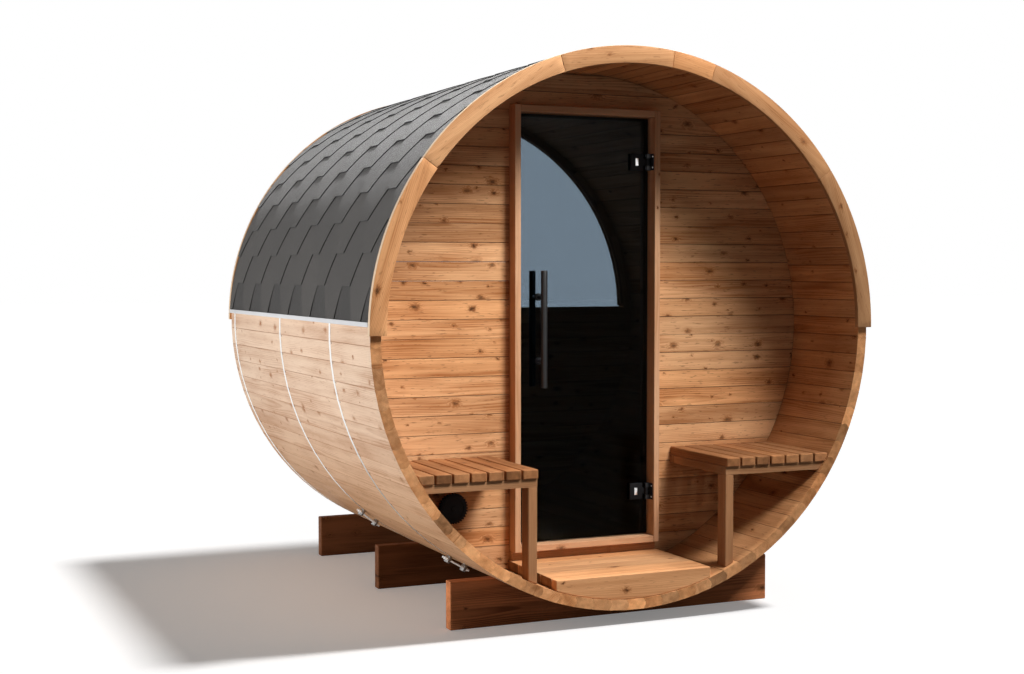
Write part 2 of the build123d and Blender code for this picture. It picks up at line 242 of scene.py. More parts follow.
def join(stock, board):
    """Adds a finished shape to a piece."""
    mesh = bpy.data.meshes.new("joined")
    board.to_mesh(mesh)
    board.free()
    stock.from_mesh(mesh)
    bpy.data.meshes.remove(mesh)


def put(stock, shape, place):
    """Adds a finished shape to a piece at its place."""
    bmesh.ops.transform(shape, matrix=place, verts=shape.verts)
    join(stock, shape)


def finish_piece(stock, name, material, slot, replaced=(), smooth=None, body="barrel"):
    """Turns a piece in work into an object that rides on a body."""
    mesh = bpy.data.meshes.new(name)
    stock.to_mesh(mesh)
    stock.free()
    mesh.materials.append(material)
    piece = bpy.data.objects.new(name, mesh)
    bpy.context.scene.collection.objects.link(piece)
    if smooth:
        mesh.shade_smooth()
        mesh.set_sharp_from_angle(angle=radians(smooth))
    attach(piece, body)
    if replaced:
        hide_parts(*replaced)


# Node helpers

def feed(tree, item, inputs):
    """Links or fills the inputs of a node."""
    for name, value in dict(inputs).items():
        if isinstance(value, bpy.types.NodeSocket):
            tree.links.new(value, item.inputs[name])
        else:
            item.inputs[name].default_value = value


def wire(tree, kind, inputs=(), **settings):
    """Adds a node, sets it up and links or fills its inputs."""
    item = tree.nodes.new("ShaderNode" + kind)
    for name, value in settings.items():
        setattr(item, name, value)
    feed(tree, item, inputs)
    return item


def calc(tree, operation, *values, clamp=False):
    """The result of a sum on values or sockets."""
    item = wire(tree, "Math", enumerate(values), operation=operation, use_clamp=clamp)
    return item.outputs[0]


def vector_calc(tree, operation, first, second):
    """The result of a sum on vectors."""
    return wire(tree, "VectorMath", {0: first, 1: second}, operation=operation).outputs[0]


def scaled(tree, colour, light):
    """A colour or vector times a value."""
    inputs = {0: colour, "Scale": light}
    return wire(tree, "VectorMath", inputs, operation="SCALE").outputs[0]


def ramp(tree, value, low, high, to_low=0.0, to_high=1.0):
    """A value carried smoothly from one range to another."""
    return wire(
        tree, "MapRange",
        {"Value": value, "From Min": low, "From Max": high, "To Min": to_low, "To Max": to_high},
        interpolation_type="SMOOTHSTEP",
    ).outputs[0]


def blend_colours(tree, share, first, second, mode="MIX"):
    """One colour laid over another by a share."""
    inputs = {0: share, 6: first, 7: second}
    item = wire(tree, "Mix", inputs, data_type="RGBA", blend_type=mode, clamp_factor=True)
    return item.outputs[2]


def stretched(tree, parts, scales):
    """Three coordinates put together, each with its own scale."""
    values = [calc(tree, "MULTIPLY", part, scale) for part, scale in zip(parts, scales)]
    return wire(tree, "CombineXYZ", enumerate(values)).outputs[0]


def noise(tree, vector, scale, detail):
    """A cloudy pattern."""
    inputs = {"Vector": vector, "Scale": scale, "Detail": detail}
    return wire(tree, "TexNoise", inputs).outputs


def attribute(tree, name, output="Fac"):
    """A mark that the piece's boards carry."""
    return wire(tree, "Attribute", attribute_name=name).outputs[output]


def new_group(name, inputs, outputs):
    """A shared effect with named sockets."""
    tree = bpy.data.node_groups.new(name, "ShaderNodeTree")
    for label, kind, value in inputs:
        socket = tree.interface.new_socket(label, in_out="INPUT", socket_type="NodeSocket" + kind)
        if value is not None:
            socket.default_value = value
    for label, kind in outputs:
        tree.interface.new_socket(label, in_out="OUTPUT", socket_type="NodeSocket" + kind)
    given = tree.nodes.new("NodeGroupInput").outputs
    return tree, given, tree.nodes.new("NodeGroupOutput").inputs


def new_material(name, **values):
    """A material with its main shader, whose fixed values are set on it."""
    material = bpy.data.materials.new(name)
    material.use_nodes = True
    tree = material.node_tree
    shader = tree.nodes["Principled BSDF"]
    for label, value in values.items():
        shader.inputs[label.replace("_", " ")].default_value = value
    return material, tree, shader


def place_group(tree, group, inputs):
    """A shared effect placed in a material."""
    item = wire(tree, "Group", node_tree=group)
    feed(tree, item, inputs)
    return item.outputs


def bump(tree, shader, height, distance):
    """Presses a height into the surface of a shader."""
    item = wire(tree, "Bump", {"Height": height, "Distance": distance, "Strength": 1.0})
    tree.links.new(item.outputs[0], shader.inputs["Normal"])


# Shared effects: wood grain, with scales along, across and through a board
wander_scales = (1.1, 7, 7)
fray_scales = (62, 110, 0)
knot_scales = (7.0, 11.0, 0)
streak_scales = (1.6, 34, 34)
fibre_scales = (11, 300, 300)
cloud_scales = (2.3, 6, 6)
fleck_scales = (24, 150, 150)
mottle_scale = 38.0
ring_width = 0.0048
ring_wander = 0.026
ring_bend = 0.008
knot_fray = 0.24
knot_least = 0.036
knot_range = 0.105
knot_core = (0.03, 0.011, 0.005, 1)
knot_rim = (0.23, 0.085, 0.03, 1)
resin = (0.13, 0.05, 0.018, 1)
rim_highlight_colour = (0.93, 0.76, 0.56, 1)
warm_tint = (1.0, 0.92, 0.84, 1)
cool_tint = (1.0, 1.03, 1.08, 1)


def make_plank_grain():
    """Solid wood seen from any side: growth rings round a heart, fibres, streaks and knots."""
    tree, given, out = new_group(
        "plank grain",
        [
            ("Grain", "Vector", None),
            ("Tone", "Float", 0.5),
            ("End", "Float", 0.0),
            ("Seam", "Float", 0.0),
            ("Pale", "Color", (0.6, 0.35, 0.17, 1)),
            ("Deep", "Color", (0.35, 0.16, 0.06, 1)),
            ("Knots", "Float", 0.5),
            ("Contrast", "Float", 1.0),
        ],
        [("Color", "Color"), ("Height", "Float"), ("Roughness", "Float")],
    )
    split = wire(tree, "SeparateXYZ", {0: given["Grain"]}).outputs

    def drawn_out(scales, detail, output="Fac"):
        """A cloudy pattern drawn out along the board."""
        return noise(tree, stretched(tree, split, scales), 1.0, detail)[output]

    def add(value, share, base, clamp=False):
        """A base with a share of a value added."""
        return calc(tree, "MULTIPLY_ADD", value, share, base, clamp=clamp)

    def times(*values):
        """The product of some values."""
        result = values[0]
        for value in values[1:]:
            result = calc(tree, "MULTIPLY", result, value)
        return result

    def from_middle(value):
        """A pattern's swing about its middle."""
        return calc(tree, "SUBTRACT", value, 0.5)

    def rest(value):
        """What is left of one."""
        return calc(tree, "SUBTRACT", 1.0, value)

    # The rings wander slowly along the board
    wander = drawn_out(wander_scales, 2.0, "Color")
    shift = vector_calc(tree, "SUBTRACT", wander, (0.5, 0.5, 0.5))
    shift = vector_calc(tree, "MULTIPLY", shift, (0, ring_wander, ring_wander))
    section = vector_calc(tree, "MULTIPLY", given["Grain"], (0, 1, 1))
    section = vector_calc(tree, "ADD", section, shift)
    from_heart = wire(tree, "VectorMath", {0: section}, operation="LENGTH").outputs["Value"]
    # Knots: a few branch ends of different sizes with darkened grain bent round them
    ragged = scaled(tree, drawn_out(fray_scales, 4.0, "Color"), knot_fray)
    knot_place = vector_calc(tree, "ADD", stretched(tree, split, knot_scales), ragged)
    cells = wire(
        tree, "TexVoronoi", {"Vector": knot_place, "Scale": 1.0, "Randomness": 1.0},
        voronoi_dimensions="2D",
    ).outputs
    chance = wire(tree, "SeparateColor", {0: cells["Color"]}).outputs
    present = calc(tree, "LESS_THAN", chance[0], given["Knots"])
    girth = add(calc(tree, "POWER", chance[1], 1.9), knot_range, knot_least)
    reach = calc(tree, "DIVIDE", cells["Distance"], girth)
    knot = times(ramp(tree, reach, 1.4, 0.7), present)
    halo = times(ramp(tree, reach, 2.5, 0.5), present)
    # Growth rings: pale early wood that darkens to a crisp late line
    bent = add(halo, ring_bend, from_heart)
    turn = calc(tree, "FRACT", calc(tree, "DIVIDE", bent, ring_width))
    late = times(ramp(tree, turn, 0.15, 0.85), ramp(tree, turn, 1.0, 0.87))
    streak = drawn_out(streak_scales, 4.0)
    fibre = drawn_out(fibre_scales, 2.0)
    cloud = drawn_out(cloud_scales, 2.0)
    depth = times(late, ramp(tree, cloud, 0.3, 0.7, 0.08, 0.4))
    depth = add(from_middle(streak), 1.25, depth)
    depth = add(from_middle(fibre), 0.5, depth)
    depth = add(from_middle(cloud), 0.9, depth)
    depth = add(depth, given["Contrast"], 0.3)
    depth = add(halo, 0.35, depth, clamp=True)
    colour = blend_colours(tree, depth, given["Pale"], given["Deep"])
    # Each board has its own shade and tint
    colour = scaled(tree, colour, add(given["Tone"], 0.42, 0.78))
    warmth = calc(tree, "FRACT", times(given["Tone"], 7.3))
    tint = blend_colours(tree, warmth, warm_tint, cool_tint)
    colour = blend_colours(tree, 1.0, colour, tint, "MULTIPLY")
    heartwood = blend_colours(tree, ramp(tree, reach, 0.3, 0.7), knot_core, knot_rim)
    colour = blend_colours(tree, times(knot, add(chance[2], 0.4, 0.5)), colour, heartwood)
    # Short resin flecks along the grain, none on the cut ends
    fleck = ramp(tree, drawn_out(fleck_scales, 3.0), 0.60, 0.70)
    fleck = times(fleck, rest(given["End"]), given["Knots"], 0.6)
    colour = blend_colours(tree, fleck, colour, resin)
    # Cut ends: most alike, a few dark and a few fresh, all a little mottled
    cut_shade = calc(tree, "FRACT", times(given["Tone"], 17.0))
    cut_light = add(calc(tree, "POWER", cut_shade, 4.0), -0.6, 0.08)
    cut_light = add(calc(tree, "POWER", rest(cut_shade), 6.0), 0.45, cut_light)
    mottle = noise(tree, given["Grain"], mottle_scale, 3.0)["Fac"]
    cut_light = add(ramp(tree, mottle, 0.3, 0.7, -0.14, 0.12), 1.0, cut_light)
    cut_light = add(cut_light, given["End"], 1.0)
    # Joints are dark, and painted shade marked above zero darkens the same way; a rim that is marked
    # below zero is pale, as a painted highlight
    joint_and_painted_shade = add(calc(tree, "MAXIMUM", given["Seam"], 0.0), -0.62, 1.0)
    colour = scaled(tree, colour, times(cut_light, joint_and_painted_shade))
    painted_rim_highlight = calc(tree, "MULTIPLY", given["Seam"], -0.75, clamp=True)
    colour = blend_colours(tree, painted_rim_highlight, colour, rim_highlight_colour)
    tree.links.new(colour, out["Color"])
    tree.links.new(add(fibre, 0.6, times(late, 0.5)), out["Height"])
    tree.links.new(add(streak, 0.3, 0.42), out["Roughness"])
    return tree


def make_patchy_wear():
    """A slow cloud and a fine speckle for breaking up one plain colour."""
    tree, given, out = new_group(
        "patchy wear",
        [("Vector", "Vector", None), ("Cloud", "Float", 6.0), ("Speckle", "Float", 400.0)],
        [("Cloud", "Float"), ("Speckle", "Float")],
    )
    for label, detail in (("Cloud", 4.0), ("Speckle", 2.0)):
        pattern = noise(tree, given["Vector"], given[label], detail)["Fac"]
        tree.links.new(pattern, out[label])
    return tree


plank_grain = make_plank_grain()
patchy_wear = make_patchy_wear()


# Finishes

def plank_wood(name, pale, deep, knots, contrast=1.0):
    """Wood for pieces that are laid from boards."""
    material, tree, shader = new_material(name, Specular_IOR_Level=0.06)
    wood = place_group(
        tree,
        plank_grain,
        {
            "Grain": attribute(tree, "grain", "Vector"), "Tone": attribute(tree, "tone"),
            "End": attribute(tree, "end"), "Seam": attribute(tree, "seam_and_painted_light"), "Pale": (*pale, 1),
            "Deep": (*deep, 1), "Knots": knots, "Contrast": contrast,
        },
    )
    tree.links.new(wood["Color"], shader.inputs["Base Color"])
    tree.links.new(wood["Roughness"], shader.inputs["Roughness"])
    bump(tree, shader, wood["Height"], 0.0005)
    return material, tree, shader, wood["Color"]


def make_stave_wood():
    """Staves: bleached outside, with the bleached face painted paler towards the top as painted
    light from above, and warm brown on the porch side.
    """
    material, tree, shader, wood = plank_wood(
        "stave wood", (0.62, 0.315, 0.14), (0.31, 0.12, 0.042), 0.5
    )
    split = wire(tree, "SeparateXYZ", {0: wire(tree, "TexCoord").outputs["Object"]}).outputs
    rise = calc(tree, "SUBTRACT", split[2], axis_z)
    across = calc(tree, "MULTIPLY", split[0], split[0])
    reach = calc(tree, "SQRT", calc(tree, "MULTIPLY_ADD", rise, rise, across))
    outside = ramp(tree, reach, barrel_radius - 0.006, barrel_radius - 0.002)
    long_grain = calc(tree, "SUBTRACT", 1.0, attribute(tree, "end"))
    outside = calc(tree, "MULTIPLY", outside, long_grain)
    outside = calc(tree, "MULTIPLY", outside, 0.85)
    # Dark grain and knots still show through the bleached face
    green = wire(tree, "SeparateColor", {0: wood}).outputs[1]
    paleness = ramp(tree, green, -0.03, 0.33)
    # Paler towards the top: painted light from above
    lit_from_above = ramp(tree, split[2], 0.25, 1.0)
    bleached = blend_colours(tree, lit_from_above, (0.88, 0.515, 0.285, 1), (0.96, 0.745, 0.57, 1))
    bleached = blend_colours(tree, paleness, (0.45, 0.18, 0.07, 1), bleached)
    tree.links.new(blend_colours(tree, outside, wood, bleached), shader.inputs["Base Color"])
    return material


stave_wood = make_stave_wood()
wall_wood, trim_wood, fascia_wood, floor_wood, rail_wood, bench_wood, cradle_wood = (
    plank_wood(*values)[0]
    for values in (
        ("wall boards", (0.74, 0.415, 0.205), (0.38, 0.155, 0.056), 0.85, 1.25),
        ("trim wood", (0.62, 0.36, 0.205), (0.38, 0.175, 0.08), 0.3, 0.8),
        ("fascia wood", (0.72, 0.385, 0.18), (0.40, 0.165, 0.06), 0.6, 1.0),
        ("floor wood", (0.70, 0.375, 0.18), (0.40, 0.17, 0.066), 0.4, 0.9),
        ("bench rail wood", (0.45, 0.225, 0.105), (0.25, 0.105, 0.042), 0.3, 0.9),
        ("bench wood", (0.385, 0.178, 0.074), (0.19, 0.075, 0.03), 0.35, 1.0),
        ("dark stained wood", (0.26, 0.095, 0.038), (0.075, 0.024, 0.009), 0.4, 1.15),
    )
)


def worn(tree, cloud, speckle):
    """Patchy wear placed on a piece by its own coordinates."""
    place = wire(tree, "TexCoord").outputs["Object"]
    return place_group(tree, patchy_wear, {"Vector": place, "Cloud": cloud, "Speckle": speckle})


def make_shingle():
    """Mineral grit on bitumen: dark grey with lighter grains, each tab a little different."""
    material, tree, shader = new_material(
        "shingle grit", Roughness=0.75, Specular_IOR_Level=0.3, Sheen_Weight=0.35,
        Sheen_Roughness=0.35,
    )
    wear = worn(tree, 5.0, 650.0)
    colour = blend_colours(tree, wear["Cloud"], (0.039, 0.035, 0.032, 1), (0.061, 0.055, 0.050, 1))
    light = calc(tree, "MULTIPLY_ADD", attribute(tree, "tone"), 0.3, 0.85)
    grit = calc(tree, "MULTIPLY", ramp(tree, wear["Speckle"], 0.52, 0.72), 0.5)
    colour = blend_colours(tree, grit, scaled(tree, colour, light), (0.13, 0.127, 0.122, 1))
    # The cut edges are painted near black: painted shadow lines along the tabs' edges
    colour = blend_colours(tree, attribute(tree, "end"), colour, (0.008, 0.008, 0.008, 1))
    tree.links.new(colour, shader.inputs["Base Color"])
    bump(tree, shader, wear["Speckle"], 0.0012)
    return material


def make_coat(name, light, dark, scales, polish_by, polish, relief=None, **values):
    """A plain metal or coating between two shades, with an uneven polish and a faint relief."""
    material, tree, shader = new_material(name, **values)
    wear = worn(tree, *scales)
    colour = blend_colours(tree, wear["Cloud"], (*light, 1), (*dark, 1))
    tree.links.new(colour, shader.inputs["Base Color"])
    tree.links.new(ramp(tree, wear[polish_by], *polish), shader.inputs["Roughness"])
    if relief:
        bump(tree, shader, wear["Speckle"], relief)
    return material


def make_steel(name, light, dark):
    """Bare steel with fine marks, between two shades."""
    polish = (0.2, 0.8, 0.2, 0.4)
    return make_coat(name, light, dark, (9.0, 260.0), "Speckle", polish, 0.0002, Metallic=1.0)


def make_black(name, gloss, polish):
    """Black coating with a faint orange-peel skin, between two values of roughness."""
    return make_coat(
        name, (0.006, 0.006, 0.007), (0.013, 0.012, 0.012), (30.0, 900.0), "Cloud",
        (0.3, 0.7, *polish), 0.0001, Metallic=0.0, Specular_IOR_Level=gloss,
    )


def make_glass(name, colour, smear):
    """Glass with a slight unevenness in its polish."""
    material, tree, shader = new_material(
        name, Base_Color=(*colour, 1), Transmission_Weight=1.0, IOR=1.08, Metallic=0.0
    )
    wear = worn(tree, 3.0, 90.0)
    tree.links.new(ramp(tree, wear["Cloud"], 0.35, 0.75, 0.0, smear), shader.inputs["Roughness"])
    return material


shingle_grit = make_shingle()
bright_steel = make_steel("bright steel", (0.97, 0.965, 0.955), (0.88, 0.875, 0.86))
dull_steel = make_steel("dull zinc", (0.36, 0.35, 0.34), (0.24, 0.235, 0.225))
black_metal = make_black("black satin metal", 0.35, (0.3, 0.42))
black_cap = make_black("matt black cap", 0.08, (0.55, 0.7))
eave_metal = make_coat(
    "pale coated metal", (0.78, 0.78, 0.79), (0.62, 0.62, 0.64), (7.0, 300.0), "Speckle",
    (0.2, 0.8, 0.3, 0.45), Metallic=0.0, Specular_IOR_Level=0.5,
)
smoked_glass = make_glass("smoked glass", (0.16, 0.205, 0.25), 0.03)
window_glass = make_glass("window glass", (0.90, 0.93, 0.95), 0.02)


# Staves with bead-and-cove edges and eased corners
bead_shoulder = 0.0055
bead_end = bead_shoulder + 0.009
bead_height = 0.007
cove_gap = 0.0004
stave_ease = 0.0018


def stave_edge(side, gap):
    """The outline of one side of a stave from its outer to its inner face."""
    outline = (
        (barrel_radius, 0), (barrel_radius - bead_shoulder, 0),
        (barrel_radius - bead_end, bead_height), (inner_radius + bead_end, bead_height),
        (inner_radius + bead_shoulder, 0), (inner_radius, 0),
    )
    return [
        Vector((
            radius - side * (rise + gap) * sin(half_stave), 0,
            side * radius * tan(half_stave) + (rise + gap) * cos(half_stave),
        ))
        for radius, rise in outline
    ]


def is_long_corner(edge):
    """Whether an edge runs along a stave at its outer or inner face."""
    first, second = (v.co for v in edge.verts)
    off_face = min(abs(first.x - barrel_radius), abs(first.x - inner_radius))
    return abs(first.y - second.y) > barrel_length / 2 and off_face < cove_gap


def make_stave():
    """One stave on the right of the barrel, with its long corners eased."""
    stave = bmesh.new()
    outline = stave_edge(1, 0) + list(reversed(stave_edge(-1, cove_gap)))
    stave.faces.new([stave.verts.new(centre + point) for point in outline])
    thicken(stave, front_y, barrel_length, edge=0)
    ease(stave, [e for e in stave.edges if is_long_corner(e)], stave_ease)
    return stave


pattern_stave = make_stave()
stock = new_stock()
for number in range(stave_count):
    turn = number * stave_angle
    stave = pattern_stave.copy()
    around = Matrix.Rotation(-turn, 3, "Y")
    bmesh.ops.rotate(stave, cent=centre, matrix=around, verts=stave.verts)
    lay(stock, stave, y_dir, tangent(turn), seams_and_underside_shade=True)
pattern_stave.free()
stave_groups = (
    "right", "upper_right", "crown", "upper_left", "left", "lower_left", "bottom", "lower_right",
)
stave_nodes = ["staves_" + group for group in stave_groups]
finish_piece(stock, "stave_ring", stave_wood, "stave_wood", stave_nodes)

# Walls of horizontal boards
board_cover = 0.080
board_edge = 0.0022
least_board = 0.004
first_joint = axis_z + 0.0408
joint_gap = 0.0006
door_side = frame_half + seat_gap
door_low = frame_bottom - seat_gap
door_high = frame_top + seat_gap


def wall_levels(low, high):
    """The lower and upper level of each wall board between two heights."""
    count = int((first_joint - low) / board_cover) + 1
    level = first_joint - count * board_cover
    while level < high - least_board:
        top = level + board_cover
        if top > low + least_board:
            yield max(level, low) + joint_gap / 2, min(top, high) - joint_gap / 2
        level += board_cover


def wall_board(low, high):
    """A sheet the height of one board, as wide as the barrel."""
    board = section_disc(lining_radius)
    cut(board, (0, 0, low), -z_dir)
    cut(board, (0, 0, high), z_dir)
    return board


def in_doorway(face):
    """Whether a face of a wall sheet lies in the doorway."""
    spot = face.calc_center_median()
    return abs(spot.x) < door_side and door_low < spot.z < door_high


def lay_wall(stock, sheet, y):
    """Makes a wall board of a sheet and lays it."""
    lay(stock, thicken(sheet, y, wall_depth, board_edge), x_dir, z_dir, seams_and_underside_shade=True)


stock = new_stock()
for low, high in wall_levels(axis_z - lining_radius, axis_z + lining_radius):
    if door_low <= low and high <= door_high:
        for side in (-1, 1):
            board = wall_board(low, high)
            cut(board, (side * door_side, 0, 0), -side * x_dir)
            lay_wall(stock, board, wall_front_y)
        continue
    board = wall_board(low, high)
    if low < door_high and high > door_low:
        for side in (-1, 1):
            cut(board, (side * door_side, 0, 0), x_dir, clear=False)
        cut(board, (0, 0, door_high if high > door_high else door_low), z_dir, clear=False)
        inside = [f for f in board.faces if in_doorway(f)]
        bmesh.ops.delete(board, geom=inside, context="FACES")
        bmesh.ops.dissolve_faces(board, faces=board.faces[:])
    lay_wall(stock, board, wall_front_y)
front_wall = ["front_wall_" + part for part in ("left", "right", "over_door", "under_door")]
finish_piece(stock, "front_wall_boards", wall_wood, "wall_wood", front_wall)

window_sill = axis_z + 0.031
stock = new_stock()
for low, high in wall_levels(axis_z - lining_radius, window_sill):
    lay_wall(stock, wall_board(low, high), rear_inner_y)
finish_piece(stock, "back_wall_boards", wall_wood, "wall_wood", ("back_wall_lower",))

# Arched strip, beads and pane of the half-moon window
window_radius = 1.0355
window_middle = Vector((0, 0, window_sill + seat_gap))
segment_count = 8
segment_steps = 10
segment_gap = 0.0004
past_lining = 1.3
stock = new_stock()
for number in range(segment_count):
    sweep = pi / segment_count
    start = number * sweep
    board = arc_sheet(
        window_radius, past_lining, start, sweep - segment_gap, segment_steps, window_middle
    )
    # The outer rim comes back along its rays to the lining
    for v in board.verts:
        if (v.co - centre).length > lining_radius:
            ray = (v.co - window_middle).normalized()
            back = window_middle - centre
            ahead = -back.dot(ray)
            reach = ahead + sqrt(ahead**2 - back.length_squared + lining_radius**2)
            v.co = window_middle + reach * ray
    turn = start + sweep / 2
    lay(stock, thicken(board, rear_inner_y, wall_depth), tangent(turn), radial(turn))
finish_piece(stock, "back_wall_arch_strip", wall_wood, "wall_wood", ("back_wall_arch",))

bead_width = 0.015
bead_depth = 0.0182
bead_edge = 0.003
bead_tone = 0.45
bead_lift = 0.02
pane_radius = window_radius - seat_gap
pane_depth = 0.008
stock = new_stock()
for y in (rear_inner_y, rear_outer_y - bead_depth):
    for number in range(segment_count):
        sweep = (pi - 2 * bead_lift) / segment_count
        start = bead_lift + number * sweep
        turn = start + sweep / 2
        bead = arc_sheet(
            pane_radius - bead_width, pane_radius, start, sweep - segment_gap, segment_steps,
            window_middle,
        )
        thicken(bead, y, bead_depth, bead_edge)
        lay(stock, bead, tangent(turn), radial(turn), bead_tone)
    half = sqrt(pane_radius**2 - bead_width**2)
    low = (-half, y, window_middle.z)
    high = (half, y + bead_depth, window_middle.z + bead_width)
    lay(stock, box_board(low, high, bead_edge), x_dir, z_dir, bead_tone)
finish_piece(stock, "window_glazing_beads", trim_wood, "trim_wood", ("window_beads",))

pane = section_disc(pane_radius - 0.0005, 160, window_middle)
cut(pane, window_middle, -z_dir)
thicken(pane, (rear_inner_y + rear_outer_y - pane_depth) / 2, pane_depth, 0.0008)
finish_piece(pane, "back_window_pane", window_glass, "window_glass", ("back_window",))

# Door frame, with a threshold board in front of it and stops behind the glass
trim_edge = 0.0025
rail_half = jamb_inner - seat_gap
stop_width = 0.016
stop_bottom = frame_bottom + frame_face + seat_gap
stop_top = frame_top - frame_face - seat_gap
stop_front_y = glass_back_y + 0.008
head_half = rail_half - stop_width - seat_gap
stock = new_stock()


def frame_board(low, high, along, across, tone=None, edge=trim_edge):
    """One board of the door frame."""
    lay(stock, box_board(low, high, edge), along, across, tone)


for side in (-1, 1):
    left, right = sorted((side * jamb_inner, side * frame_half))
    frame_board(
        (left, frame_front_y, frame_bottom), (right, wall_back_y, frame_top), z_dir, x_dir, 0.8
    )
for low, tone in ((frame_top - frame_face, 0.5), (frame_bottom, 0.75)):
    frame_board(
        (-rail_half, frame_front_y, low), (rail_half, wall_back_y, low + frame_face), x_dir, z_dir,
        tone,
    )
# The threshold board's low tone of 0.1 darkens it as painted shade under the sill
frame_board(
    (-frame_half, wall_front_y - 0.026, floor_top + seat_gap),
    (frame_half, wall_front_y - seat_gap, frame_bottom - seat_gap), x_dir, y_dir, 0.1, 0.004,
)
for side in (-1, 1):
    left, right = sorted((side * (rail_half - stop_width), side * rail_half))
    frame_board((left, stop_front_y, stop_bottom), (right, wall_back_y, stop_top), z_dir, x_dir)
frame_board(
    (-head_half, stop_front_y, stop_top - stop_width), (head_half, wall_back_y, stop_top), x_dir,
    z_dir,
)
frame_nodes = ["door_" + part for part in ("jambs", "head", "sill", "threshold", "stops")]
finish_piece(stock, "door_frame_boards", trim_wood, "trim_wood", frame_nodes)

# Floors
floor_gap = 0.0045
floor_edge = 0.003
skirt_depth = 0.045
joist_depth = 0.038
joist_top = floor_underside - seat_gap
porch_start = front_y + 0.0035
porch_end = wall_front_y - seat_gap
room_start = wall_back_y + seat_gap
room_end = rear_inner_y - seat_gap


def lay_floor(name, node, start, end, count, painted_shade_on_ends=False):
    """A floor of boards across the barrel."""
    stock = new_stock()
    pitch = (end - start + floor_gap) / count
    for number in range(count):
        y = start + number * pitch
        low = (-floor_half, y, floor_underside)
        high = (floor_half, y + pitch - floor_gap, floor_top)
        lay(stock, box_board(low, high, floor_edge), x_dir, y_dir, painted_shade_on_ends=painted_shade_on_ends)
    finish_piece(stock, name, floor_wood, "floor_wood", (node,))


def floor_joist(y):
    """A bearer under a floor, cut to the barrel."""
    return section_board(-floor_half, floor_half, 0, joist_top, y, joist_depth)


boards_start = porch_start + skirt_depth + floor_gap
# The boards' cut ends are darkened as painted shade
lay_floor("porch_floor_boards", "porch_floor", boards_start, porch_end, 4, painted_shade_on_ends=True)

stock = new_stock()
skirt = section_board(-floor_half, floor_half, 0, floor_top, porch_start, skirt_depth, floor_edge)
lay(stock, skirt, x_dir, z_dir, 0.6)
lay(stock, floor_joist(porch_end - joist_depth), x_dir, z_dir)
finish_piece(stock, "porch_skirt_and_bearer", floor_wood, "floor_wood", ("porch_floor_bearers",))

lay_floor("room_floor_boards", "room_floor", room_start, room_end, 16)

stock = new_stock()
for number in range(3):
    y = room_start + number * (room_end - room_start - joist_depth) / 2
    lay(stock, floor_joist(y), x_dir, z_dir)
finish_piece(stock, "room_floor_joists", floor_wood, "floor_wood", ("room_floor_bearers",))

# Porch benches
bench_inner = frame_half + 0.087
bench_front_y = front_y + 0.0045
bench_back_y = wall_front_y - seat_gap
slat_width = 0.0655
slat_pitch = slat_width + 0.0075
slat_top = floor_top + 0.4485
slat_bottom = slat_top - 0.037
rail_width = 0.034
rail_top = slat_bottom - seat_gap
rail_bottom = rail_top - rail_width
rail_front_y = bench_front_y + 0.011
rail_back_y = bench_back_y - rail_width
rail_tone = 0.4
side_start = rail_front_y + rail_width + seat_gap
side_length = rail_back_y - seat_gap - side_start
to_staves = 1
leg_width = 0.0385
leg_depth = 0.0655


def bench_bar(side, near, width, low, high, y, depth, edge=0.003):
    """A bar of a bench, cut to the barrel where it meets the staves."""
    left, right = sorted((side * near, side * (near + width)))
    return section_board(left, right, low, high, y, depth, edge)


for side, name in ((-1, "bench_left"), (1, "bench_right")):
    stock = new_stock()
    for number in range(7):
        near = bench_inner + number * slat_pitch
        length = bench_back_y - bench_front_y
        slat = bench_bar(
            side, near, slat_width, slat_bottom, slat_top, bench_front_y, length, 0.004
        )
        lay(stock, slat, y_dir, x_dir)
    finish_piece(stock, name + "_boards", bench_wood, "floor_wood", (name + "_slats",))
    stock = new_stock()
    for y in (rail_front_y, rail_back_y):
        rail = bench_bar(side, bench_inner, to_staves, rail_bottom, rail_top, y, rail_width)
        lay(stock, rail, x_dir, z_dir, rail_tone)
    rail = bench_bar(side, bench_inner, rail_width, rail_bottom, rail_top, side_start, side_length)
    lay(stock, rail, y_dir, x_dir, rail_tone)
    leg_top = rail_bottom - seat_gap
    leg = bench_bar(side, bench_inner, leg_width, 0, leg_top, rail_front_y, leg_depth, 0.0035)
    lay(stock, leg, z_dir, x_dir, 0.5)
    finish_piece(stock, name + "_rails", rail_wood, "trim_wood", (name + "_frame",))

# Fascia arches: six curved boards with straight grain, one of them a short one beside the crown
fascia_inner = inner_radius - 0.016
fascia_depth = 0.0225
fascia_gap = 0.0003
fascia_joints = (0, 36, 72, 82, 108, 144, 180)
# The board tones are lower on the right and at the crown than on the left: painted shade falling off
# across the arch
fascia_painted_shade_tones = (-0.45, -0.35, 0.0, -0.2, 0.4, 0.6)
for y, name in (
    (front_y - seat_gap - fascia_depth, "front_fascia"), (back_y + seat_gap, "rear_fascia"),
):
    stock = new_stock()
    for number, tone in enumerate(fascia_painted_shade_tones):
        start, end = (radians(joint) for joint in fascia_joints[number : number + 2])
        turn = (start + end) / 2
        steps = round((end - start) / radians(1.5))
        board = arc_sheet(fascia_inner, roof_outer, start, end - start - fascia_gap, steps)
        thicken(board, y, fascia_depth, 0.0025)
        # The outer rim of each board gets a painted highlight along its outer edge
        rim_middle = Vector((0, y + fascia_depth / 2, axis_z))
        lay(stock, board, tangent(turn), radial(turn), tone, rim=rim_middle)
    finish_piece(stock, name + "_boards", fascia_wood, "trim_wood", (name,), smooth=35)

